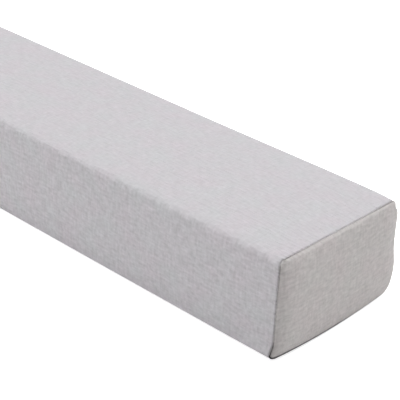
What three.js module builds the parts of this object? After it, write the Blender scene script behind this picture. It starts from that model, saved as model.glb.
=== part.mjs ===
// A bed gap filler: a long firm foam block in a plain linen-look cover.
// One sleeve of cloth wraps the top, the underside and the two long sides, with soft folded long
// edges, and a separate crowned panel is sewn in at each end.
// X runs along the block, Y from the front side to the back, Z up. The origin is the middle of
// the underside. Sizes are in millimetres.

import * as THREE from 'three';
import { mergeVertices } from 'three/addons/utils/BufferGeometryUtils.js';

// Overall size
const LENGTH = 1900;
const WIDTH = 209;
const HEIGHT = 130;

// Fullness: how far each face stands out at its middle, and how far the seam pulls it in at the ends
const SIDE_CROWN = 2.5;
const TOP_CROWN = 2.5;
const END_CROWN = 6;
const SEAM_PULL = 1;
const PULL_REACH = 70;

// Cloth and end seam: the cloth's edges turn down into the seam over LIP on both sides of it, and
// the end panel turns over from the seam to its face over ROLL. GAP parts the two at their seat, and
// POCKET_EASE is the room behind the panel's turned edge.
const CLOTH = 2.4;
const LIP = 1.6;
const ROLL = 3;
const GAP = 0.3;
const POCKET_EASE = 1.2;

// Radius of each long edge at mid-length, on the softer stretch near the ends, and at the seam
const EDGE_RADII = {
  topFront: { middle: 7, soft: 10, seam: 9 },
  topBack: { middle: 12, soft: 9, seam: 10 },
  bottomFront: { middle: 6, soft: 7, seam: 6 },
  bottomBack: { middle: 14, soft: 16, seam: 15 },
};
const SOFT_FROM_SEAM = 60;
const SOFT_FADE = 320;

// At each end the cover stands out above its two lower corners and is tucked in below the top back
// one: how far out, at what height, over what spread, and how far along from the seam
const FLARES = [
  { side: -1, out: 5.5, height: 4, spread: 10, reach: 45 },
  { side: 1, out: 6.5, height: 35, spread: 26, reach: 45 },
  { side: 1, out: -5, height: 123, spread: 6, reach: 14 },
];
const CORNER_LIFT = 6;
const LIFT_REACH = 45;

// Grid steps: half the length, a lip, the panel's roll, and half a side of a section
const STEPS = { along: 14, lip: 3, roll: 4, half: 8 };

const HALF_WIDTH = WIDTH / 2;
const HALF_HEIGHT = HEIGHT / 2;
const SEAM_X = LENGTH / 2 - END_CROWN - ROLL - LIP - GAP;
const POCKET = {
  inset: LIP + CLOTH,
  endInset: ROLL + CLOTH,
  depth: LIP + ROLL - CLOTH,
  turnRings: 3,
};

const { smoothstep, lerp } = THREE.MathUtils;
const RIGHT_ANGLE = Math.PI / 2;

// Radius of one long edge at a distance from the end seam
function edgeRadius(edge, fromSeam) {
  const { middle, soft, seam } = EDGE_RADII[edge];
  const nearSeam = lerp(seam, soft, smoothstep(fromSeam, 0, SOFT_FROM_SEAM));
  return lerp(nearSeam, middle, smoothstep(fromSeam, SOFT_FROM_SEAM, SOFT_FADE));
}

// The point of a section's outline, a rectangle with four rounded corners, that belongs to the
// point (a, b) on the edge of the square from -1 to 1. The outer half of each side of the square
// becomes an eighth of a circle at each end, and the inner half becomes the straight stretch.
function outline(a, b, fromSeam) {
  const upper = b > 0;
  const names = upper ? ['topFront', 'topBack'] : ['bottomFront', 'bottomBack'];
  const radius = edgeRadius(names[a > 0 ? 1 : 0], fromSeam);
  const upright = Math.abs(a) >= Math.abs(b);
  const along = upright ? b : a;
  if (Math.abs(along) > 0.5) {
    const turn = (Math.abs(along) - 0.5) * RIGHT_ANGLE;
    const [dy, dz] = upright
      ? [Math.cos(turn), Math.sin(turn)]
      : [Math.sin(turn), Math.cos(turn)];
    return [
      Math.sign(a) * (HALF_WIDTH - radius + radius * dy),
      Math.sign(b) * (HALF_HEIGHT - radius + radius * dz),
    ];
  }
  if (upright) {
    const side = a > 0 ? 'Back' : 'Front';
    const low = edgeRadius('bottom' + side, fromSeam) - HALF_HEIGHT;
    const high = HALF_HEIGHT - edgeRadius('top' + side, fromSeam);
    return [Math.sign(a) * HALF_WIDTH, lerp(low, high, along + 0.5)];
  }
  const near = edgeRadius(names[0], fromSeam) - HALF_WIDTH;
  const far = HALF_WIDTH - edgeRadius(names[1], fromSeam);
  return [lerp(near, far, along + 0.5), Math.sign(b) * HALF_HEIGHT];
}

// A point of an outline moved inwards by a distance
function inset([y, z], distance) {
  return [y * (1 - distance / HALF_WIDTH), z * (1 - distance / HALF_HEIGHT)];
}

// How far the end's face stands out at a point of a section, from 0 at the edge to 1 at the middle
function crownShare(y, z) {
  return Math.max(0, 1 - (y / HALF_WIDTH) ** 2) * Math.max(0, 1 - (z / HALF_HEIGHT) ** 2);
}

// 1 at the end seam, falling away as a bell over a reach along the block
function atEnd(fromSeam, reach) {
  return Math.exp(-((fromSeam / reach) ** 2));
}

// Gives a plain rounded block the fullness of a sewn cover: crowned top and sides that are drawn
// in beside the end seams, the flares at the ends, and lower corners that lift a little there
function filled(x, y, z) {
  const fromSeam = Math.max(0, SEAM_X - Math.abs(x));
  const across = y / HALF_WIDTH;
  const up = z / HALF_HEIGHT;
  const height = z + HALF_HEIGHT;
  const free = smoothstep(fromSeam, 0, PULL_REACH);
  const flares = FLARES.filter((flare) => flare.side * across > 0);
  const out = flares.reduce((sum, flare) => {
    const level = Math.exp(-(((height - flare.height) / flare.spread) ** 2));
    return sum + flare.out * level * atEnd(fromSeam, flare.reach);
  }, 0);
  const sideBow = lerp(-SEAM_PULL, SIDE_CROWN, free) * (1 - up ** 2) * across;
  const topBow = lerp(-SEAM_PULL, TOP_CROWN, free) * (1 - across ** 2) * Math.max(up, 0);
  const lift = CORNER_LIFT * across ** 2 * ((1 - up) / 2) ** 2 * atEnd(fromSeam, LIFT_REACH);
  return [x, y + sideBow + out * across ** 3, height + topBow + lift];
}

// The pocket that an end panel fills, ring by ring from its edge (0) to its middle (STEPS.half):
// a flat seat beside the seam, a quarter turn, and then the crowned face. clear moves the surface
// away from the panel.
function pocketPoint(j, k, clear) {
  const ring = Math.max(Math.abs(j), Math.abs(k));
  const number = STEPS.half - ring;
  if (ring === 0) return [SEAM_X + POCKET.depth + END_CROWN - clear, 0, 0];
  const edge = outline(j / ring, k / ring, 0);
  if (number === 0) return [SEAM_X, ...inset(edge, LIP)];
  const turned = Math.min((number - 1) / (POCKET.turnRings - 1), 1) * RIGHT_ANGLE;
  const first = POCKET.inset + clear;
  const last = POCKET.endInset + clear;
  const shrink = Math.min(1, ring / (STEPS.half - POCKET.turnRings));
  const [y, z] = inset(edge, first + (last - first) * (1 - Math.cos(turned))).map(
    (side) => side * shrink,
  );
  const depth = (POCKET.depth - clear) * Math.sin(turned);
  return [SEAM_X + depth + END_CROWN * crownShare(y, z) * Math.sin(turned), y, z];
}

// The sleeve with its filling: long sides between the two seams, and a pocket face at each end
function sleevePoint(i, j, k) {
  const last = STEPS.along + STEPS.lip;
  const end = Math.sign(i);
  const onSide = Math.max(Math.abs(j), Math.abs(k)) === STEPS.half;
  if (Math.abs(i) === last && !onSide) {
    const [x, y, z] = pocketPoint(j, k, POCKET_EASE);
    return filled(end * x, y, z);
  }
  const step = Math.abs(i);
  const turn = Math.max(0, (step - STEPS.along) / STEPS.lip) * RIGHT_ANGLE;
  const run = 1 - (1 - Math.min(1, step / STEPS.along)) ** 2;
  const x = (SEAM_X - LIP) * run + LIP * Math.sin(turn);
  const edge = outline(j / STEPS.half, k / STEPS.half, SEAM_X - x);
  return filled(end * x, ...inset(edge, LIP * (1 - Math.cos(turn))));
}

// An end panel at the end on the +X side: its back lies in the pocket, its rim comes up out of the
// seam and turns over, and its face is crowned. i counts from the back (0) to the face.
function panelPoint(i, j, k) {
  const back = SEAM_X + GAP;
  const onRim = Math.max(Math.abs(j), Math.abs(k)) === STEPS.half;
  if (i === 0) {
    const [x, y, z] = pocketPoint(j, k, 0);
    return filled(x + GAP, y, z);
  }
  if (!onRim) {
    const ring = Math.max(Math.abs(j), Math.abs(k));
    const edge = ring ? outline(j / ring, k / ring, 0) : [0, 0];
    const [y, z] = inset(edge, ROLL).map((side) => (side * ring) / STEPS.half);
    return filled(back + LIP + ROLL + END_CROWN * crownShare(y, z), y, z);
  }
  const edge = outline(j / STEPS.half, k / STEPS.half, 0);
  if (i <= STEPS.lip) {
    const turn = (i / STEPS.lip) * RIGHT_ANGLE;
    return filled(back + LIP * (1 - Math.cos(turn)), ...inset(edge, LIP * (1 - Math.sin(turn))));
  }
  const turn = ((i - STEPS.lip) / STEPS.roll) * RIGHT_ANGLE;
  const [y, z] = inset(edge, ROLL * (1 - Math.cos(turn)));
  const crown = END_CROWN * crownShare(y, z) * Math.sin(turn);
  return filled(back + LIP + ROLL * Math.sin(turn) + crown, y, z);
}

// A closed skin: a box grid of whole steps whose points are moved by place(i, j, k)
function skin(stepsX, firstX, place) {
  const around = 2 * STEPS.half;
  const box = new THREE.BoxGeometry(stepsX, around, around, stepsX, around, around);
  box.translate(firstX + stepsX / 2, 0, 0);
  const points = box.getAttribute('position');
  for (let n = 0; n < points.count; n += 1) {
    const grid = [points.getX(n), points.getY(n), points.getZ(n)].map(Math.round);
    points.setXYZ(n, ...place(...grid));
  }
  box.deleteAttribute('normal');
  box.deleteAttribute('uv');
  const closed = mergeVertices(box, 1e-3);
  closed.computeVertexNormals();
  return closed;
}

function piece(name, geometry, color) {
  const cloth = new THREE.MeshStandardMaterial({ color, roughness: 0.95, metalness: 0 });
  const mesh = new THREE.Mesh(geometry, cloth);
  mesh.name = name;
  return mesh;
}

function sleeve() {
  const reach = STEPS.along + STEPS.lip;
  return piece('sleeve', skin(2 * reach, -reach, sleevePoint), 0xd0cdd0);
}

// The two end panels mirror each other, so one has its x turned round and its faces flipped back
function endPanel(name, end) {
  const geometry = skin(STEPS.lip + STEPS.roll, 0, panelPoint);
  if (end < 0) {
    geometry.scale(-1, 1, 1);
    geometry.setIndex(Array.from(geometry.index.array).reverse());
    geometry.computeVertexNormals();
  }
  return piece(name, geometry, 0xc8c4c2);
}

const gapFiller = new THREE.Group();
gapFiller.add(sleeve(), endPanel('end_panel_right', 1), endPanel('end_panel_left', -1));

export default gapFiller;
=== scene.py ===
import math

import bpy
import numpy as np
from mathutils import Matrix, Vector


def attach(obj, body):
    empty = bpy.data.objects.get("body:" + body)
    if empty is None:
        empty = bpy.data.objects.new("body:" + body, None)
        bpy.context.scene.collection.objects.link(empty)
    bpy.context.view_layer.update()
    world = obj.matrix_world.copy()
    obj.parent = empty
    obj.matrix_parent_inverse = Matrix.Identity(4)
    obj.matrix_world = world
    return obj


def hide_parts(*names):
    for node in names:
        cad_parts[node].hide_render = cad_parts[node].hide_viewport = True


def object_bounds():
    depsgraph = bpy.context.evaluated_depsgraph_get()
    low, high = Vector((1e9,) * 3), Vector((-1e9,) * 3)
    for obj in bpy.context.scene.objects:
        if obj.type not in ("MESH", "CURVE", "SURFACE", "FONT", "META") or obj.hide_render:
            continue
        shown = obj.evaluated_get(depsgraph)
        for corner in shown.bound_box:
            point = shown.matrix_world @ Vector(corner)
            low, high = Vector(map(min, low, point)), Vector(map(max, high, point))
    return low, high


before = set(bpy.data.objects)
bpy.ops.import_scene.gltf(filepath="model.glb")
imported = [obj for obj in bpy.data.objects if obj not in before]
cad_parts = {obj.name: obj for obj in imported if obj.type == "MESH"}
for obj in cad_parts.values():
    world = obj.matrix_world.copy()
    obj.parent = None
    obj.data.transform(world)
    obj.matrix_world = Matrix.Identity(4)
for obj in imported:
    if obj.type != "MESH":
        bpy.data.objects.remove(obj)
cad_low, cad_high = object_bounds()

# A bed gap filler: a long firm foam block in a linen-look cover, one sleeve with a panel sewn in
# at each end. X runs along the block, Y from its front side to its back, Z up. Sizes in metres.

# The block
LENGTH = cad_high.x - cad_low.x
WIDTH = 0.209
HEIGHT = 0.130
HALF_WIDTH = WIDTH / 2
HALF_HEIGHT = HEIGHT / 2

# The end seam: both cloths turn down into it over LIP, and the end panel turns over ROLL to its
# face. The painted shade in its groove is darkest just beyond the sleeve's turned edge.
LIP = 0.0016
ROLL = 0.003
GAP = 0.0003
PANEL_CLOTH = 0.0024
END_CROWN = 0.006
SEAM_X = LENGTH / 2 - END_CROWN - ROLL - LIP - GAP
POCKET_DEPTH = LIP + ROLL - PANEL_CLOTH
POCKET_EASE = 0.0012
GROOVE_SHADE_PLACE = 0.0019

# Radius of each long edge at mid-length, on the softer stretch near the ends, and at the seam
EDGE_RADII = {
    "top_front": (0.007, 0.010, 0.009),
    "top_back": (0.012, 0.009, 0.010),
    "bottom_front": (0.006, 0.007, 0.006),
    "bottom_back": (0.014, 0.016, 0.015),
}
SOFT_FROM_SEAM = 0.060
SOFT_FADE = 0.320

# The form before its cloth is settled: faces a little hollow, and ends with most of their crown,
# which drops to the upright seams over CROWN_DROP and to the other two as a power of the way out
START_HOLLOW = 0.001
START_END_CROWN = 0.005
CROWN_DROP = 0.008
CROWN_POWER = 4.5

# At both ends the cover stands out above its lower corners and is tucked in below the top back one:
# which side, how far out, at what height, over what spread, and how far along from the seam
FLARES = [
    (-1, 0.0055, 0.004, 0.010, 0.045),
    (1, 0.0065, 0.035, 0.026, 0.045),
    (1, -0.005, 0.123, 0.006, 0.014),
]
CORNER_LIFT = 0.006
LIFT_REACH = 0.045

# Steps of the fine grids: straight stretches across and up a section, half a rounded corner, the
# turn into the seam, the panel's roll, and the rings along half the sleeve, which crowd towards
# the seam as this power of the way left
ACROSS_STEPS = 60
UP_STEPS = 36
ARC_STEPS = 4
LIP_STEPS = 3
ROLL_STEPS = 4
SLEEVE_STEPS = 34
RING_CROWDING = 2.2

# Settling the cloth: an even, coarser cover, with the same three steps of a section, its pressure,
# the share of it on the long sides, the cloth's stiffness and damping, how firmly the foam's long
# edges hold it, and the most that a point may move
SETTLE_STEP = 0.0105
EVEN_ACROSS_STEPS = 17
EVEN_UP_STEPS = 10
EVEN_ARC_STEPS = 1
SETTLE_FRAMES = 20
PRESSURE = 6.0
SIDE_PRESSURE = 0.3
STIFFNESS = 40.0
AIR_DAMPING = 5
EDGE_HOLD = 0.9
MOST_MOVE = 0.0045

# The sleeve's grey and the end panel's, as linear colours, and the tints that both drift between.
# The panel's is the same cloth's grey made warmer and a little darker: painted light, for the
# warmer light on the ends
SLEEVE_GREY = (0.60, 0.58, 0.605)
PANEL_WARM_LIT_GREY = (0.588, 0.556, 0.549)
GREENER_TINT = (0.985, 1.012, 1.0)
ROSIER_TINT = (1.015, 0.988, 1.0)

# How far up the cloth faces, as the z of its normal, where the flecks and slubs are faintest and
# where they are full, which is painted light as the overhead light shows the grain less on top;
# and the cloth's roughness with what the flecks add to it
FAINT_MOTTLE_FACING = 0.95
FULL_MOTTLE_FACING = 0.3
CLOTH_ROUGHNESS = 0.86
FLECK_ROUGHNESS = 0.08

# Inside this share of the way out from the end's middle, the puckers narrow no further
PUCKER_CORE = 0.2

# Painted contact shadow below the end: a dark strip of painted shade in the end's lowest cloth. It
# sets in from the first value to the second: heights above the end's lower edge, places beyond the
# seam, and places across, where it starts at the least share given after them. The lower edge lifts
# by EDGE_LIFT times the square of the place across.
SHADOW_HEIGHTS = (0.0062, 0.0035)
SHADOW_BEYOND = (-0.001, 0.002)
SHADOW_ACROSS = (0.055, -0.005)
SHADOW_LEAST = 0.3
EDGE_LIFT = 0.55

# The camera of the photograph
CAMERA_PLACE = (1.7067, -1.0885, 0.8758)
CAMERA_AZIMUTH = 41.912
CAMERA_ELEVATION = 28.566
CAMERA_ROLL = 2.963
CAMERA_LENS = 124.38
SENSOR_WIDTH = 36
CAMERA_SIGHT = 50

# The studio: a floor that is a square of this half side, how strongly it shines on the block and
# how bright the camera sees it, and the point that the soft boxes face
FLOOR_HALF = 40.0
FLOOR_GLOW = 0.152
FLOOR_WHITE = 0.8
NEAR_END = (0.8, 0.0, 0.06)

# Keeps a division by a length or a share away from zero
TINY = 1e-9


def smooth(value, low, high):
    """0 below low, 1 above high, and an even S between them."""
    share = np.clip((value - low) / (high - low), 0, 1)
    return share * share * (3 - 2 * share)


def mix(start, end, share):
    """From start at a share of 0 to end at 1, in a straight line."""
    return start + (end - start) * share


def edge_radius(edge, from_seam):
    """Radius of a long edge: from its value at the seam to the soft one, then to mid-length's."""
    middle, soft, seam = EDGE_RADII[edge]
    near = mix(seam, soft, smooth(from_seam, 0, SOFT_FROM_SEAM))
    return mix(near, middle, smooth(from_seam, SOFT_FROM_SEAM, SOFT_FADE))


def outline(a, b, from_seam):
    """The place on a section's rounded rectangle of the place (a, b) on the rim of the square
    from -1 to 1: each outer quarter of a side of the square is an eighth of a circle, and the
    half between them is the straight stretch."""
    radius = {edge: edge_radius(edge, from_seam) for edge in EDGE_RADII}
    upper, back = b > 0, a > 0
    corner = np.where(
        upper,
        np.where(back, radius["top_back"], radius["top_front"]),
        np.where(back, radius["bottom_back"], radius["bottom_front"]),
    )
    upright = np.abs(a) >= np.abs(b)
    along = np.where(upright, b, a)
    turn = np.clip(np.abs(along) - 0.5, 0, None) * math.pi / 2
    arc_y = np.where(upright, np.cos(turn), np.sin(turn)) * corner + HALF_WIDTH - corner
    arc_z = np.where(upright, np.sin(turn), np.cos(turn)) * corner + HALF_HEIGHT - corner
    low = np.where(back, radius["bottom_back"], radius["bottom_front"]) - HALF_HEIGHT
    high = HALF_HEIGHT - np.where(back, radius["top_back"], radius["top_front"])
    near = np.where(upper, radius["top_front"], radius["bottom_front"]) - HALF_WIDTH
    far = HALF_WIDTH - np.where(upper, radius["top_back"], radius["bottom_back"])
    flat_y = np.where(upright, np.sign(a) * HALF_WIDTH, mix(near, far, along + 0.5))
    flat_z = np.where(upright, mix(low, high, along + 0.5), np.sign(b) * HALF_HEIGHT)
    on_arc = np.abs(along) > 0.5
    y = np.where(on_arc, np.sign(a) * arc_y, flat_y)
    z = np.where(on_arc, np.sign(b) * arc_z, flat_z)
    return y, z


def drawn_in(y, z, distance):
    """A section's outline moved inwards by a distance."""
    return y * (1 - distance / HALF_WIDTH), z * (1 - distance / HALF_HEIGHT)


def crown_share(y, z):
    """1 over most of the end's face, which turns over more and more beside the seam: falling
    to 0 exponentially at its upright edges, and as a high power of the height at the other two."""
    sideways = 1 - np.exp(-np.clip(HALF_WIDTH - np.abs(y), 0, None) / CROWN_DROP)
    return sideways * np.clip(1 - np.abs(z / HALF_HEIGHT) ** CROWN_POWER, 0, 1)


def at_end(from_seam, reach):
    """1 at the end seam, falling away as a bell over a reach along the block."""
    return np.exp(-((from_seam / reach) ** 2))


def filled(x, y, z):
    """Gives a plain rounded block the start form of its cover. The sides and the top are hollow
    as parabolas. Each flare is a bell of the height times a bell of the way from the seam, grown
    with the cube of the place across. The lower corners lift with a bell of the way from the seam
    and the squares of the place across and of the way down."""
    from_seam = np.clip(SEAM_X - np.abs(x), 0, None)
    across = y / HALF_WIDTH
    up = z / HALF_HEIGHT
    height = z + HALF_HEIGHT
    flare = 0
    for side, out, level, spread, reach in FLARES:
        bell = np.exp(-(((height - level) / spread) ** 2))
        flare = flare + (side * across > 0) * out * bell * at_end(from_seam, reach)
    side_bow = -START_HOLLOW * (1 - up**2) * across
    top_bow = -START_HOLLOW * (1 - across**2) * np.clip(up, 0, None)
    lift = CORNER_LIFT * across**2 * ((1 - up) / 2) ** 2 * at_end(from_seam, LIFT_REACH)
    return np.stack([x + 0 * y, y + side_bow + flare * across**3, height + top_bow + lift], -1)


class Section:
    """The steps of a grid over a section, which is worked out as the square from -1 to 1. ring_a
    and ring_b go once round its rim: up the back side, over the top, down the front and back
    underneath. inner counts the places inside it that an end's cap needs."""

    def __init__(self, across, up, arc):
        self.across = self.side_steps(across, arc)
        self.up = self.side_steps(up, arc)
        back = np.ones(len(self.up) - 1)
        top = np.ones(len(self.across) - 1)
        self.ring_a = np.concatenate([back, self.across[:0:-1], -back, self.across[:-1]])
        self.ring_b = np.concatenate([self.up[:-1], top, self.up[:0:-1], -top])
        self.inner = (len(self.across) - 2) * (len(self.up) - 2)

    @staticmethod
    def side_steps(straight, arc):
        """Places from -1 to 1 along a side: a corner's steps, the straight ones, a corner's."""
        return np.concatenate([
            np.linspace(-1, -0.5, arc, endpoint=False),
            np.linspace(-0.5, 0.5, straight, endpoint=False),
            np.linspace(0.5, 1, arc + 1),
        ])

    def cap_indices(self, ring, first_inner):
        """Vertex numbers over the square: the ring's own on the rim, new ones inside it."""
        columns, rows = len(self.across), len(self.up)
        grid = np.empty((columns, rows), int)
        inner = first_inner + np.arange(self.inner)
        grid[1:-1, 1:-1] = inner.reshape(columns - 2, rows - 2)
        ends = np.cumsum([0, rows - 1, columns - 1, rows - 1, columns - 1])
        grid[-1, :-1] = ring[ends[0] : ends[1]]
        grid[:0:-1, -1] = ring[ends[1] : ends[2]]
        grid[0, :0:-1] = ring[ends[2] : ends[3]]
        grid[:-1, 0] = ring[ends[3] : ends[4]]
        return grid

    def cap(self, place):
        """place(a, b, ring) over the whole square: (a, b) is the rim's place straight out from
        the middle, and ring the share of the way out to it."""
        a, b = np.meshgrid(self.across, self.up, indexing="ij")
        ring = np.maximum(np.abs(a), np.abs(b))
        safe = np.maximum(ring, TINY)
        return place(np.where(ring > 0, a / safe, 0), np.where(ring > 0, b / safe, 1), ring)

    def girth(self):
        """Distance round the section at mid-length to each place of the ring and to its start."""
        y, z = outline(self.ring_a, self.ring_b, SEAM_X)
        steps = np.hypot(np.diff(y, append=y[:1]), np.diff(z, append=z[:1]))
        return np.concatenate([[0], np.cumsum(steps)])


FINE = Section(ACROSS_STEPS, UP_STEPS, ARC_STEPS)
EVEN = Section(EVEN_ACROSS_STEPS, EVEN_UP_STEPS, EVEN_ARC_STEPS)


def corners(grid):
    """The four corner values of every cell of a grid, in order round the cell."""
    cells = [grid[:-1, :-1], grid[:-1, 1:], grid[1:, 1:], grid[1:, :-1]]
    return np.stack(cells, 2).reshape(-1, 4, *grid.shape[2:])


def skin(name, section, sides, side_uv, low_cap, high_cap):
    """A closed mesh: sides[ring, place] from the low x to the high one, and a cap over each end,
    a grid over the square whose rim is the end's ring. Quads follow the grids, facing outwards.
    The cloth's flat place is side_uv on the sides and (y, z) on the caps."""
    rings, places = sides.shape[:2]
    numbers = np.arange(rings * places).reshape(rings, places)
    low = section.cap_indices(numbers[0], numbers.size)
    high = section.cap_indices(numbers[-1], numbers.size + section.inner)
    inside = [cap[1:-1, 1:-1].reshape(-1, 3) for cap in (low_cap, high_cap)]
    points = np.concatenate([sides.reshape(-1, 3), *inside])
    wrapped = np.concatenate([numbers, numbers[:, :1]], 1)
    quads = np.concatenate([corners(wrapped), corners(low), corners(high.T)])
    flat_low, flat_high = points[low][..., 1:], points[high.T][..., 1:]
    uv = np.concatenate([corners(side_uv), corners(flat_low), corners(flat_high)])
    mesh = bpy.data.meshes.new(name)
    mesh.from_pydata(points, [], quads.tolist())
    layer = mesh.uv_layers.new(name="cloth_metres")
    layer.uv.foreach_set("vector", uv.astype(np.float32).ravel())
    mesh.shade_smooth()
    made = bpy.data.objects.new(name, mesh)
    bpy.context.scene.collection.objects.link(made)
    return made


def pocket(a, b, ring, clear):
    """The recess in the sleeve's end that a panel fills: a flat seat beside the seam, an S up
    from it, and the crowned face, clear of the panel's back by a distance."""
    y, z = outline(a, b, 0)
    depth = HALF_HEIGHT * (1 - ring)
    turned = smooth(depth, LIP + PANEL_CLOTH / 2, LIP + PANEL_CLOTH + ROLL)
    y, z = drawn_in(y * ring, z * ring, LIP)
    x = SEAM_X + (POCKET_DEPTH - clear + START_END_CROWN * crown_share(y, z)) * turned
    return filled(x, y, z) + end_swell


def mirrored(points):
    """The same points at the other end, with x turned round."""
    return points * np.array([-1, 1, 1])


def spline_weights(places, nodes, closed):
    """The weight of every node for each place along a row of nodes, as on an even cubic
    B-spline: four neighbours share each place. A closed row goes on from its last node to its
    first, and an open row repeats its end ones."""
    first = np.floor(places).astype(int)
    t = places - first
    shares = [(1 - t) ** 3, 3 * t**3 - 6 * t**2 + 4, -3 * t**3 + 3 * t**2 + 3 * t + 1, t**3]
    weights = np.zeros((len(places), nodes))
    rows = np.arange(len(places))
    for offset, share in enumerate(shares, -1):
        node = first + offset
        node = node % nodes if closed else np.clip(node, 0, nodes - 1)
        np.add.at(weights, (rows, node), share / 6)
    return weights


def even_cover():
    """The whole cover on an even, coarser grid, with its two ends closed: the cloth to settle.
    Returns it with its ring stations along X and the shape of an end's grid."""
    stations = np.linspace(-SEAM_X, SEAM_X, 1 + round(2 * SEAM_X / SETTLE_STEP))
    x = stations[:, None]
    y, z = outline(EVEN.ring_a[None], EVEN.ring_b[None], SEAM_X - np.abs(x))
    sides = filled(x, y, z)

    def face(a, b, ring):
        y, z = (side * ring for side in outline(a, b, 0))
        return filled(SEAM_X + START_END_CROWN * crown_share(y, z), y, z)

    cap = EVEN.cap(face)
    side_uv = np.zeros((len(stations), len(EVEN.ring_a) + 1, 2))
    return skin("even_cover", EVEN, sides, side_uv, mirrored(cap), cap), stations, cap.shape[:2]


def mesh_points(mesh):
    """The mesh's vertices as an array."""
    values = np.empty(3 * len(mesh.vertices))
    mesh.vertices.foreach_get("co", values)
    return values.reshape(-1, 3)


def weight_group(piece, name, weights):
    """A vertex group from an array of weights, one call for each value that occurs."""
    group = piece.vertex_groups.new(name=name)
    for value in np.unique(weights[weights > 0]):
        group.add(np.nonzero(weights == value)[0].tolist(), float(value), "REPLACE")
    return group.name


def settled_moves(piece, held, pressed):
    """How far the cloth solver moves each point of a closed cover: even pressure from inside, no
    gravity, held points pinned by their weight. Each move's length is eased off towards MOST_MOVE
    as a hyperbolic tangent."""
    start = mesh_points(piece.data)
    cloth = piece.modifiers.new("cloth", "CLOTH")
    settings = cloth.settings
    settings.vertex_group_mass = weight_group(piece, "held", held)
    settings.vertex_group_pressure = weight_group(piece, "pressed", pressed)
    settings.use_pressure = True
    settings.uniform_pressure_force = PRESSURE
    settings.tension_stiffness = STIFFNESS
    settings.compression_stiffness = STIFFNESS
    settings.shear_stiffness = STIFFNESS / 2
    settings.air_damping = AIR_DAMPING
    settings.effector_weights.gravity = 0
    cloth.collision_settings.use_collision = False
    for frame_number in range(1, SETTLE_FRAMES + 1):
        bpy.context.scene.frame_set(frame_number)
    settled = piece.evaluated_get(bpy.context.evaluated_depsgraph_get())
    move = mesh_points(settled.data) - start
    piece.modifiers.remove(cloth)
    bpy.context.scene.frame_set(1)
    length = np.linalg.norm(move, axis=-1, keepdims=True)
    return move * np.tanh(length / MOST_MOVE) * MOST_MOVE / np.maximum(length, TINY)


def settle():
    """Settles the even cover. Its underside and end seams are held, its long edges nearly so.
    Returns the moves for the fine grids: as a function of the rings' x for the sides, and as an
    array for an end's cap."""
    cover, stations, cap_shape = even_cover()
    points = mesh_points(cover.data)
    ring = len(EVEN.ring_a)
    on_sides = len(stations) * ring
    long_edge = np.minimum(np.abs(EVEN.ring_a), np.abs(EVEN.ring_b)) >= 0.5
    held = np.zeros(len(points))
    held[:on_sides] = EDGE_HOLD * np.tile(long_edge, len(stations))
    held[points[:, 2] < SETTLE_STEP / 20] = 1
    held[:on_sides][np.abs(points[:on_sides, 0]) > SEAM_X - SETTLE_STEP / 2] = 1
    pressed = np.ones(len(points))
    pressed[:on_sides] = SIDE_PRESSURE
    moves = settled_moves(cover, held, pressed)
    bpy.data.objects.remove(cover)
    side_moves = moves[:on_sides].reshape(len(stations), ring, 3)
    end_moves = np.zeros((*cap_shape, 3))
    high_cap = moves[on_sides + EVEN.inner :]
    end_moves[1:-1, 1:-1] = high_cap.reshape(cap_shape[0] - 2, cap_shape[1] - 2, 3)
    round_places = np.interp(FINE.girth()[:-1], EVEN.girth(), np.arange(ring + 1))
    around = spline_weights(round_places, ring, closed=True)
    along_cap = [
        spline_weights(np.interp(fine, even, np.arange(len(even))), len(even), closed=False)
        for fine, even in ((FINE.across, EVEN.across), (FINE.up, EVEN.up))
    ]

    def sides(x):
        place = (x - stations[0]) / (stations[1] - stations[0])
        along = spline_weights(place, len(stations), closed=False)
        return np.einsum("ri,ijc,pj->rpc", along, side_moves, around)

    return sides, np.einsum("ai,ijc,bj->abc", along_cap[0], end_moves, along_cap[1])


side_swell, end_swell = settle()


def sleeve_rings():
    """x of each ring along half the sleeve, closer and closer towards the seam, and how far the
    last ones have turned down into it over a quarter circle."""
    share = np.linspace(0, 1, SLEEVE_STEPS + 1)
    straight = (SEAM_X - LIP) * (1 - (1 - share) ** RING_CROWDING)
    turn = np.linspace(0, math.pi / 2, LIP_STEPS + 1)[1:]
    x = np.concatenate([straight, SEAM_X - LIP + LIP * np.sin(turn)])
    inset = np.concatenate([0 * straight, LIP * (1 - np.cos(turn))])
    return x, inset


def sleeve():
    """The sleeve: the section's outline carried along the block and turned into both end seams.
    Its cloth's flat place is the way along the block and the girth."""
    x, inset = sleeve_rings()
    x, inset = x[:, None], inset[:, None]
    y, z = outline(FINE.ring_a[None], FINE.ring_b[None], SEAM_X - x)
    half = filled(x, *drawn_in(y, z, inset))
    along = np.concatenate([-x[:0:-1], x])
    sides = np.concatenate([mirrored(half[:0:-1]), half]) + side_swell(along[:, 0])
    side_uv = np.stack(np.broadcast_arrays(along, FINE.girth()[None]), -1)
    cap = FINE.cap(lambda a, b, ring: pocket(a, b, ring, POCKET_EASE))
    return skin("sleeve_cover", FINE, sides, side_uv, mirrored(cap), cap)


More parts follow.
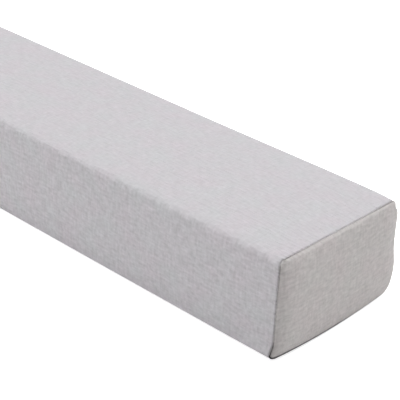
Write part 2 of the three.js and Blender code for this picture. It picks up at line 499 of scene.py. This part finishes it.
def end_panel(name, end):
    """An end panel: its rim comes up out of the seam over a quarter turn and turns over onto a
    crowned face, and its back lies in the sleeve's pocket. Its cloth's flat place is (y, z) on the
    face, and goes on straight outwards over the rim by the rim's own length."""
    y, z = outline(FINE.ring_a[None], FINE.ring_b[None], 0)
    back = SEAM_X + GAP
    lip = np.linspace(0, math.pi / 2, LIP_STEPS + 1)[:, None]
    roll = np.linspace(0, math.pi / 2, ROLL_STEPS + 1)[1:, None]
    lip_y, lip_z = drawn_in(y, z, LIP * (1 - np.sin(lip)))
    roll_y, roll_z = drawn_in(y, z, ROLL * (1 - np.cos(roll)))
    crown = START_END_CROWN * crown_share(roll_y, roll_z) * np.sin(roll)
    rim = np.concatenate([
        filled(back + LIP * (1 - np.cos(lip)), lip_y, lip_z),
        filled(back + LIP + ROLL * np.sin(roll) + crown, roll_y, roll_z),
    ])

    def face(a, b, ring):
        y, z = (side * ring for side in drawn_in(*outline(a, b, 0), ROLL))
        return filled(back + LIP + ROLL + START_END_CROWN * crown_share(y, z), y, z) + end_swell

    inside = FINE.cap(lambda a, b, ring: pocket(a, b, ring, 0)) + [GAP, 0, 0]
    outside = FINE.cap(face)
    steps = np.linalg.norm(np.diff(rim[:, 0], axis=0), axis=-1)
    passed = np.concatenate([[0], np.cumsum(steps)])
    to_face = passed[-1] - passed[:, None, None]
    face_edge = np.concatenate([rim[-1:], rim[-1:, :1]], 1)[..., 1:]
    outwards = face_edge / np.linalg.norm(face_edge, axis=-1, keepdims=True)
    rim_uv = face_edge + outwards * to_face
    if end > 0:
        return skin(name, FINE, rim, rim_uv, inside, outside)
    rim, inside, outside = (mirrored(part) for part in (rim[::-1], inside, outside))
    return skin(name, FINE, rim, rim_uv[::-1], outside, inside)


class Graph:
    """Adds shader nodes to a tree. A node's inputs are given as numbers, colours or other nodes'
    outputs, and most calls hand back the new node's output."""

    def __init__(self, tree):
        self.tree = tree

    def node(self, kind, inputs, **settings):
        """The new node itself."""
        made = self.tree.nodes.new(kind)
        for name, value in settings.items():
            setattr(made, name, value)
        for name, value in inputs.items():
            if isinstance(value, bpy.types.NodeSocket):
                self.tree.links.new(value, made.inputs[name])
            else:
                made.inputs[name].default_value = value
        return made

    def math(self, operation, *values):
        return self.node("ShaderNodeMath", dict(enumerate(values)), operation=operation).outputs[0]

    def product(self, first, *others):
        """All the values multiplied together, in their order."""
        for other in others:
            first = self.math("MULTIPLY", first, other)
        return first

    def vector(self, operation, *values):
        made = self.node("ShaderNodeVectorMath", dict(enumerate(values)), operation=operation)
        return made.outputs[0]

    def split(self, vector):
        """The x, y and z of a vector."""
        return self.node("ShaderNodeSeparateXYZ", {0: vector}).outputs

    def join(self, x, y, z=0.0):
        """The vector of x, y and z."""
        return self.node("ShaderNodeCombineXYZ", {0: x, 1: y, 2: z}).outputs[0]

    def swing(self, x, y, detail):
        """Noise of about -1 to 1 over a flat place, with grains one unit of x and y across."""
        made = self.node(
            "ShaderNodeTexNoise",
            {"Vector": self.join(x, y), "Scale": 1.0, "Detail": detail},
            noise_dimensions="2D",
        )
        return self.math("MULTIPLY_ADD", made.outputs[0], 2.0, -1.0)

    def fade(self, way, reach):
        """1 at no distance, falling away exponentially over a reach."""
        back = self.math("MULTIPLY", way, -1.0)
        return self.math("EXPONENT", self.math("DIVIDE", back, reach))

    def slope(self, value, start, end, least=0.0):
        """From least at the start to 1 at the end, as an S, and level outside them."""
        made = self.node(
            "ShaderNodeMapRange",
            {"Value": value, "From Min": start, "From Max": end, "To Min": least},
            interpolation_type="SMOOTHSTEP",
        )
        return made.outputs[0]

    def blend(self, share, first, second):
        """From the first colour at a share of 0 to the second at 1. The node's inputs 6 and 7 and
        its output 2 are its colour ones."""
        made = self.node("ShaderNodeMix", {0: share, 6: first, 7: second}, data_type="RGBA")
        return made.outputs[2]


def effect(name, inputs, outputs, build):
    """A node group with named inputs, each a kind of socket and a value, and outputs. build(graph,
    inputs) returns the outputs' sockets in order."""
    tree = bpy.data.node_groups.new(name, "ShaderNodeTree")
    for label, (kind, value) in inputs.items():
        socket = tree.interface.new_socket(label, in_out="INPUT", socket_type="NodeSocket" + kind)
        if value is not None:
            socket.default_value = value
    for label, kind in outputs.items():
        tree.interface.new_socket(label, in_out="OUTPUT", socket_type="NodeSocket" + kind)
    results = build(Graph(tree), tree.nodes.new("NodeGroupInput").outputs)
    put_out = tree.nodes.new("NodeGroupOutput")
    for place, socket in enumerate(results):
        tree.links.new(socket, put_out.inputs[place])
    return tree


def slub_threads(graph, given):
    """Linen-like yarns on the cloth's own place in metres. A plain weave's height is the product
    of two sines, one for each set of threads. Slubs, where a yarn runs thick, are noise drawn out
    along it: one set runs along the cloth's u and one along its v, and Crossing mixes the two."""
    u, v, _ = graph.split(given["Place"])
    waves = []
    for side in (u, v):
        turn = graph.math("DIVIDE", graph.math("MULTIPLY", side, math.pi), given["Thread"])
        waves.append(graph.math("SINE", turn))
    weave = graph.product(*waves)
    long_u, long_v = (graph.math("DIVIDE", side, given["Slub Length"]) for side in (u, v))
    wide_u, wide_v = (graph.math("DIVIDE", side, given["Slub Width"]) for side in (u, v))
    along_u = graph.swing(long_u, wide_v, detail=1.0)
    along_v = graph.swing(wide_u, long_v, detail=1.0)
    crossing = given["Crossing"]
    slubs = graph.math(
        "ADD",
        graph.math("MULTIPLY", along_v, crossing),
        graph.math("MULTIPLY", along_u, graph.math("SUBTRACT", 1.0, crossing)),
    )
    weave_height = graph.math("MULTIPLY", weave, given["Weave Height"])
    height = graph.math("MULTIPLY_ADD", slubs, given["Slub Height"], weave_height)
    return slubs, height


def heathered_tone_and_painted_shade(graph, given):
    """Mixed light and dark fibres. The light is 1, plus fine flecks and the slubs, less the painted
    shade beside the seams and below the ends. Flecks and slubs are fainter where the cloth faces
    up,
    which is painted light: the overhead light shows the cloth's grain less there. The light
    multiplies the base colour, whose tint drifts slowly between a greener and a rosier grey. The
    roughness follows the flecks."""
    u, v, _ = graph.split(given["Place"])

    def blotches(size, detail):
        grains = (graph.math("DIVIDE", side, given[size]) for side in (u, v))
        return graph.swing(*grains, detail=detail)

    flecks = blotches("Fleck Size", detail=2.0)
    slub_tone = graph.math("MULTIPLY", given["Slubs"], given["Slub Tone"])
    mottle = graph.math("MULTIPLY_ADD", flecks, given["Flecks"], slub_tone)
    normal = graph.node("ShaderNodeNewGeometry", {}).outputs["Normal"]
    facing_up = graph.split(normal)[2]
    # Painted light: the mottle is weaker where the cloth faces up
    strength = graph.slope(facing_up, FAINT_MOTTLE_FACING, FULL_MOTTLE_FACING, least=given["Flat Nap"])
    light = graph.math("MULTIPLY_ADD", mottle, strength, 1.0)
    light = graph.math("MULTIPLY_ADD", given["Shade"], -1.0, light)
    share = graph.math("MULTIPLY_ADD", blotches("Drift Size", detail=1.0), given["Drift"], 0.5)
    tints = (graph.vector("MULTIPLY", given["Base"], tint) for tint in (GREENER_TINT, ROSIER_TINT))
    tinted = graph.blend(share, *tints)
    roughness = graph.math("MULTIPLY_ADD", flecks, FLECK_ROUGHNESS, CLOTH_ROUGHNESS)
    return graph.vector("MULTIPLY", tinted, graph.join(light, light, light)), roughness


def groove_shade(graph, given, beyond, inward):
    """Painted shade in the seam's groove: a bell over its width, round its place beyond the seam
    and on the section's rim.
    """
    off_groove = graph.math("ABSOLUTE", graph.math("SUBTRACT", beyond, GROOVE_SHADE_PLACE))
    into = graph.math("ADD", off_groove, inward)
    squared = graph.math("POWER", graph.math("DIVIDE", into, given["Groove Width"]), 2.0)
    return graph.math("MULTIPLY", graph.fade(squared, 1.0), given["Groove Shade"])


def painted_contact_shadow(graph, given, place, beyond):
    """Painted contact shadow below the end, in the lowest strip of the end's cloth above its lifted
    edge: the product of an S over the height, one over the way beyond the seam, and one across that
    is deepest at the front corner. place is (y, z) from the section's middle."""
    y, z = place
    lifted = graph.math("MULTIPLY_ADD", graph.product(y, y), -EDGE_LIFT, z)
    start, full = (height - HALF_HEIGHT for height in SHADOW_HEIGHTS)
    strip = graph.slope(lifted, start, full)
    on_end = graph.slope(beyond, *SHADOW_BEYOND)
    to_front = graph.slope(y, *SHADOW_ACROSS, least=SHADOW_LEAST)
    return graph.product(strip, on_end, to_front, given["Fold Shade"])


def seam_puckers_and_painted_shade(graph, given):
    """The cloth beside the end seams. The way from the seam is the way along the block plus the
    way in from the section's rim. Puckers run straight out from the seam: their noise is read at
    the rim's place straight out from the section's middle, and fades over Reach. The shade is all
    painted shade: the groove's, a band that fades over Reach beside the front upright seam, and a
    painted contact shadow below the end."""
    x, y, z = graph.split(given["Place"])
    z = graph.math("SUBTRACT", z, HALF_HEIGHT)
    wide, high = graph.math("ABSOLUTE", y), graph.math("ABSOLUTE", z)
    sideways = graph.math("SUBTRACT", HALF_WIDTH, wide)
    upwards = graph.math("SUBTRACT", HALF_HEIGHT, high)
    inward = graph.math("MAXIMUM", graph.math("MINIMUM", sideways, upwards), 0.0)
    beyond = graph.math("SUBTRACT", graph.math("ABSOLUTE", x), SEAM_X)
    off_seam = graph.math("ABSOLUTE", beyond)
    share_y = graph.math("DIVIDE", wide, HALF_WIDTH)
    share_z = graph.math("DIVIDE", high, HALF_HEIGHT)
    way_out = graph.math("MAXIMUM", graph.math("MAXIMUM", share_y, share_z), PUCKER_CORE)
    size = graph.math("MULTIPLY", way_out, given["Pitch"])
    rim_y, rim_z = (graph.math("DIVIDE", side, size) for side in (y, z))
    beside = graph.fade(graph.math("ADD", off_seam, inward), given["Reach"])
    height = graph.product(graph.swing(rim_y, rim_z, detail=1.0), beside, given["Depth"])
    # Painted shade: a band beside the front upright seam
    from_front = graph.math("ADD", graph.math("ADD", y, HALF_WIDTH), off_seam)
    front = graph.fade(graph.math("MAXIMUM", from_front, 0.0), given["Reach"])
    # Painted contact shadow below the end
    contact_shadow = painted_contact_shadow(graph, given, (y, z), beyond)
    band = graph.math("MULTIPLY_ADD", front, given["Front Shade"], contact_shadow)
    return graph.math("ADD", groove_shade(graph, given, beyond, inward), band), height


# The effects that both cloths share. Each cloth gives them its own values.
FLOAT, VECTOR, COLOUR = "Float", "Vector", "Color"
slub_weave = effect(
    "slub_weave",
    {
        "Place": (VECTOR, None),
        "Thread": (FLOAT, 0.0008),
        "Slub Length": (FLOAT, 0.008),
        "Slub Width": (FLOAT, 0.0015),
        "Crossing": (FLOAT, 0.5),
        "Weave Height": (FLOAT, 0.0001),
        "Slub Height": (FLOAT, 0.0001),
    },
    {"Slubs": FLOAT, "Height": FLOAT},
    slub_threads,
)
heather = effect(
    "heather",
    {
        "Place": (VECTOR, None),
        "Base": (COLOUR, None),
        "Fleck Size": (FLOAT, 0.002),
        "Flecks": (FLOAT, 0.1),
        "Slubs": (FLOAT, 0.0),
        "Slub Tone": (FLOAT, 0.1),
        "Drift Size": (FLOAT, 0.04),
        "Drift": (FLOAT, 0.5),
        # The mottle's share where the cloth faces up: painted light
        "Flat Nap": (FLOAT, 0.5),
        "Shade": (FLOAT, 0.0),
    },
    {"Colour": COLOUR, "Roughness": FLOAT},
    heathered_tone_and_painted_shade,
)
puckering = effect(
    "puckering",
    {
        "Place": (VECTOR, None),
        "Reach": (FLOAT, 0.006),
        "Pitch": (FLOAT, 0.004),
        "Depth": (FLOAT, 0.0005),
        # Painted shade: in the groove, beside the front upright seam, and as a contact shadow below
        # the end
        "Groove Width": (FLOAT, 0.0015),
        "Groove Shade": (FLOAT, 0.3),
        "Front Shade": (FLOAT, 0.05),
        "Fold Shade": (FLOAT, 0.5),
    },
    {"Shade": FLOAT, "Height": FLOAT},
    seam_puckers_and_painted_shade,
)


def linen(name, base, weave, tone, beside_seam):
    """Matt linen-look cloth: woven, slubby and heathered over its own flat place, puckered beside
    the end seams, with painted shade beside them and below the ends, and the soft sheen of loose
    fibres."""
    made = bpy.data.materials.new(name)
    made.use_nodes = True
    graph = Graph(made.node_tree)
    shader = made.node_tree.nodes["Principled BSDF"]
    shader.inputs["Specular IOR Level"].default_value = 0.2
    shader.inputs["Sheen Weight"].default_value = 0.12
    shader.inputs["Sheen Roughness"].default_value = 0.6

    def placed(group, inputs):
        return graph.node("ShaderNodeGroup", inputs, node_tree=group).outputs

    cloth = graph.node("ShaderNodeUVMap", {}, uv_map="cloth_metres").outputs["UV"]
    place = graph.node("ShaderNodeTexCoord", {}).outputs["Object"]
    woven = placed(slub_weave, {"Place": cloth, **weave})
    seam = placed(puckering, {"Place": place, **beside_seam})
    known = {"Place": cloth, "Base": (*base, 1), "Slubs": woven["Slubs"], "Shade": seam["Shade"]}
    colour = placed(heather, {**known, **tone})
    height = graph.math("ADD", woven["Height"], seam["Height"])
    bump = graph.node("ShaderNodeBump", {"Height": height, "Distance": 1.0, "Strength": 1.0})
    for socket, value in (
        ("Base Color", colour["Colour"]),
        ("Roughness", colour["Roughness"]),
        ("Normal", bump.outputs[0]),
    ):
        made.node_tree.links.new(value, shader.inputs[socket])
    return made


def dress(piece, material, node):
    """Gives a piece its cloth and the place of its node in the frame."""
    piece.data.materials.append(material)
    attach(piece, "root")
    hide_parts(node)


sleeve_cloth = linen(
    "sleeve_cloth",
    SLEEVE_GREY,
    weave={
        "Thread": 0.0009,
        "Slub Length": 0.014,
        "Slub Width": 0.0032,
        "Crossing": 0.42,
        "Weave Height": 0.00004,
        "Slub Height": 0.00080,
    },
    tone={
        "Fleck Size": 0.0042,
        "Flecks": 0.13,
        "Slub Tone": 0.23,
        "Drift Size": 0.035,
        "Drift": 0.9,
    },
    beside_seam={
        "Reach": 0.010,
        "Pitch": 0.005,
        "Depth": 0.0009,
        # Painted shade in the seam's groove
        "Groove Width": 0.0012,
        "Groove Shade": 0.72,
        # Painted shade in a band beside the front upright seam
        "Front Shade": 0.03,
        # Painted contact shadow below the end
        "Fold Shade": 0.85,
    },
)
panel_cloth = linen(
    "end_panel_cloth",
    PANEL_WARM_LIT_GREY,
    weave={
        "Thread": 0.0009,
        "Slub Length": 0.013,
        "Slub Width": 0.0032,
        "Crossing": 0.38,
        "Weave Height": 0.00004,
        "Slub Height": 0.00050,
    },
    tone={
        "Fleck Size": 0.0042,
        "Flecks": 0.13,
        "Slub Tone": 0.22,
        "Drift Size": 0.035,
        "Drift": 0.6,
    },
    beside_seam={
        "Reach": 0.007,
        "Pitch": 0.005,
        "Depth": 0.0014,
        # Painted shade in the seam's groove
        "Groove Width": 0.0012,
        "Groove Shade": 0.72,
        # Painted shade in a band beside the front upright seam
        "Front Shade": 0.16,
        # Painted contact shadow below the end
        "Fold Shade": 0.85,
    },
)
cover = sleeve()
dress(cover, sleeve_cloth, "sleeve")
for side, end in (("right", 1), ("left", -1)):
    panel = end_panel("end_cloth_" + side, end)
    dress(panel, panel_cloth, "end_panel_" + side)


def seen_by_camera(tree, lighting, seen, socket):
    """Gives a strength one value where it lights the block and another where the camera sees it."""
    ray = tree.nodes.new("ShaderNodeLightPath")
    level = tree.nodes.new("ShaderNodeMapRange")
    level.inputs["To Min"].default_value = lighting
    level.inputs["To Max"].default_value = seen
    tree.links.new(ray.outputs["Is Camera Ray"], level.inputs["Value"])
    tree.links.new(level.outputs["Result"], socket)


def studio_floor():
    """A plain pale floor that reaches far behind the block. It shines faintly on the block, and
    more strongly to the camera, which sees it white."""
    mesh = bpy.data.meshes.new("floor")
    corner_signs = ((-1, -1), (1, -1), (1, 1), (-1, 1))
    square = [(FLOOR_HALF * x, FLOOR_HALF * y, 0) for x, y in corner_signs]
    mesh.from_pydata(square, [], [(0, 1, 2, 3)])
    floor = bpy.data.objects.new("floor", mesh)
    bpy.context.scene.collection.objects.link(floor)
    paint = bpy.data.materials.new("floor_paint")
    paint.use_nodes = True
    shader = paint.node_tree.nodes["Principled BSDF"]
    shader.inputs["Base Color"].default_value = (0.9, 0.9, 0.9, 1)
    shader.inputs["Roughness"].default_value = 0.95
    shader.inputs["Emission Color"].default_value = (1, 1, 1, 1)
    seen_by_camera(paint.node_tree, FLOOR_GLOW, FLOOR_WHITE, shader.inputs["Emission Strength"])
    floor.data.materials.append(paint)


def aimed(made, place, aim):
    """Puts a lamp at a place, turned to face a point."""
    made.location = place
    made.rotation_euler = (Vector(aim) - Vector(place)).to_track_quat("-Z", "Y").to_euler()
    bpy.context.scene.collection.objects.link(made)


def soft_box(name, place, size, power):
    """A square soft box that faces the near end."""
    lamp = bpy.data.lights.new(name, "AREA")
    lamp.size = size
    lamp.energy = power
    aimed(bpy.data.objects.new(name, lamp), place, NEAR_END)


def soft_sun(name, direction, width, strength):
    """An even light from far away, as wide as a bright ceiling seen from below."""
    lamp = bpy.data.lights.new(name, "SUN")
    lamp.angle = math.radians(width)
    lamp.energy = strength
    aimed(bpy.data.objects.new(name, lamp), direction, (0, 0, 0))


def studio_camera():
    """The photograph's camera: azimuth round the block, elevation over it, and a slight roll."""
    lens = bpy.data.cameras.new("camera")
    lens.lens = CAMERA_LENS
    lens.sensor_width = SENSOR_WIDTH
    lens.clip_end = CAMERA_SIGHT
    made = bpy.data.objects.new("camera", lens)
    turn = (
        Matrix.Rotation(math.radians(CAMERA_AZIMUTH), 4, "Z")
        @ Matrix.Rotation(math.radians(90 - CAMERA_ELEVATION), 4, "X")
        @ Matrix.Rotation(math.radians(CAMERA_ROLL), 4, "Z")
    )
    made.matrix_world = Matrix.Translation(CAMERA_PLACE) @ turn
    bpy.context.scene.collection.objects.link(made)
    bpy.context.scene.camera = made


def studio_world():
    """A white backdrop that the camera alone sees: it doesn't light the block."""
    world = bpy.data.worlds.new("studio")
    world.use_nodes = True
    background = world.node_tree.nodes["Background"]
    background.inputs["Color"].default_value = (1, 1, 1, 1)
    seen_by_camera(world.node_tree, 0, 1, background.inputs["Strength"])
    bpy.context.scene.world = world


studio_floor()
studio_camera()
studio_world()
soft_sun("ceiling", (0, 0, 1), width=50, strength=2.59)
soft_sun("left_ceiling", (-0.5, 0.5, 1), width=50, strength=0.44)
soft_sun("back_ceiling", (0, 1.2, 1), width=60, strength=0.26)
soft_box("left_box", (-2.4, -2.4, 0.7), size=1.8, power=47)
soft_box("right_box", (2.4, 3.2, 0.7), size=1.8, power=37.5)
bpy.context.scene.view_settings.view_transform = "Standard"
